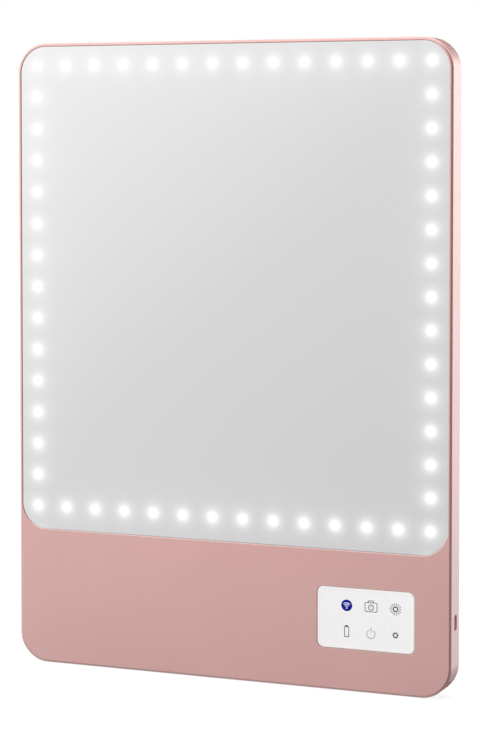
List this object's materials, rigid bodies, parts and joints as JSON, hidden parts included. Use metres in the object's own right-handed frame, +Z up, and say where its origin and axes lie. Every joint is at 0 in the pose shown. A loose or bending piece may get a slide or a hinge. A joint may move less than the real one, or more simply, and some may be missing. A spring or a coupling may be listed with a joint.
{
  "type": "lighted vanity mirror",
  "caption": "Slim upright tablet-style vanity mirror with a rectangle of small lamps behind the glass, a keypad and a fold-out kickstand.",
  "frame": {"origin": "middle of the bottom edge, at half the depth of the slab", "axes": "+Z up, -Y out of the mirror's face, +X to the right for someone who looks into the mirror"},
  "size_m": [0.2414, 0.0146, 0.3302],
  "materials": {
    "rose_metal": "satin rose-gold paint on thin aluminium",
    "tray_metal": "satin rose-gold paint, a little darker inside the recess",
    "screw_steel": "nickel-plated steel, bright",
    "plain_steel": "plain spring steel",
    "switch_steel": "stamped steel switch housing",
    "washer_brass": "plain brass",
    "panel_white": "glossy white plastic with fine grey printed symbols",
    "black_plastic": "black moulded plastic",
    "clear_plastic": "clear acrylic",
    "lamp_resin": "LED resin",
    "lamp_strip": "white circuit strip with white LEDs",
    "connector_plastic": "white nylon",
    "circuit_board": "green glass-epoxy board with solder mask",
    "battery_wrap": "lithium-polymer pouch",
    "wire_red": "red insulation",
    "wire_black": "black insulation",
    "ribbon_film": "amber polyimide film",
    "carrier_aluminium": "bare sheet aluminium",
    "mirror_glass": "silvered mirror glass with a frosted dot over each LED",
    "tape_foam": "black double-sided foam tape",
    "gasket_foam": "black foam that keeps the light at the edge",
    "foot_rubber": "black rubber"
  },
  "bodies": {
    "root": {"back_cover": "rose_metal", "battery_connector": "connector_plastic", "battery_lead_negative": "wire_black", "battery_lead_positive": "wire_red", "battery_pack": "battery_wrap", "charge_chip": "black_plastic", "charging_socket": "plain_steel", "control_panel": "panel_white", "cover_screw_1": "screw_steel", "cover_screw_2": "screw_steel", "cover_screw_3": "screw_steel", "cover_screw_4": "screw_steel", "cover_screw_5": "screw_steel", "cover_screw_6": "screw_steel", "cover_screw_7": "screw_steel", "cover_screw_8": "screw_steel", "foam_gasket": "gasket_foam", "friction_washer_left": "washer_brass", "friction_washer_right": "washer_brass", "front_frame": "rose_metal", "indicator_lamp_battery": "lamp_resin", "indicator_lamp_wireless": "lamp_resin", "keypad_ribbon": "ribbon_film", "lamp_carrier": "carrier_aluminium", "lamp_connector": "connector_plastic", "lamp_lead": "wire_black", "lamp_strip_bottom": "lamp_strip", "lamp_strip_left": "lamp_strip", "lamp_strip_right": "lamp_strip", "lamp_strip_top": "lamp_strip", "lamp_terminal": "connector_plastic", "light_pipe_battery": "clear_plastic", "light_pipe_wireless": "clear_plastic", "main_board": "circuit_board", "mirror_glass": "mirror_glass", "mirror_tape": "tape_foam", "stand_bracket": "plain_steel", "stand_pin": "plain_steel", "stand_tray": "tray_metal", "switch_board": "circuit_board", "tact_switch_brighter": "switch_steel", "tact_switch_camera": "switch_steel", "tact_switch_dimmer": "switch_steel", "tact_switch_power": "switch_steel", "wireless_module": "plain_steel"},
    "stand": {"stand_leg": "rose_metal", "stand_foot_pad": "foot_rubber"},
    "camera_key": {"key_camera": "panel_white", "switch_plunger_camera": "black_plastic"},
    "brighter_key": {"key_brighter": "panel_white", "switch_plunger_brighter": "black_plastic"},
    "power_key": {"key_power": "panel_white", "switch_plunger_power": "black_plastic"},
    "dimmer_key": {"key_dimmer": "panel_white", "switch_plunger_dimmer": "black_plastic"}
  },
  "joints": [
    {"name": "stand_hinge", "type": "hinge", "parent": "root", "child": "stand", "pos_m": [0, 0.0053, 0.1505], "axis": [1, 0, 0], "range_deg": [0, 28]},
    {"name": "camera_press", "type": "slide", "parent": "root", "child": "camera_key", "axis": [0, 1, 0], "range_m": [0, 0.0005], "stiffness_N_per_m": 1200},
    {"name": "brighter_press", "type": "slide", "parent": "root", "child": "brighter_key", "axis": [0, 1, 0], "range_m": [0, 0.0005], "stiffness_N_per_m": 1200},
    {"name": "power_press", "type": "slide", "parent": "root", "child": "power_key", "axis": [0, 1, 0], "range_m": [0, 0.0005], "stiffness_N_per_m": 1200},
    {"name": "dimmer_press", "type": "slide", "parent": "root", "child": "dimmer_key", "axis": [0, 1, 0], "range_m": [0, 0.0005], "stiffness_N_per_m": 1200}
  ]
}
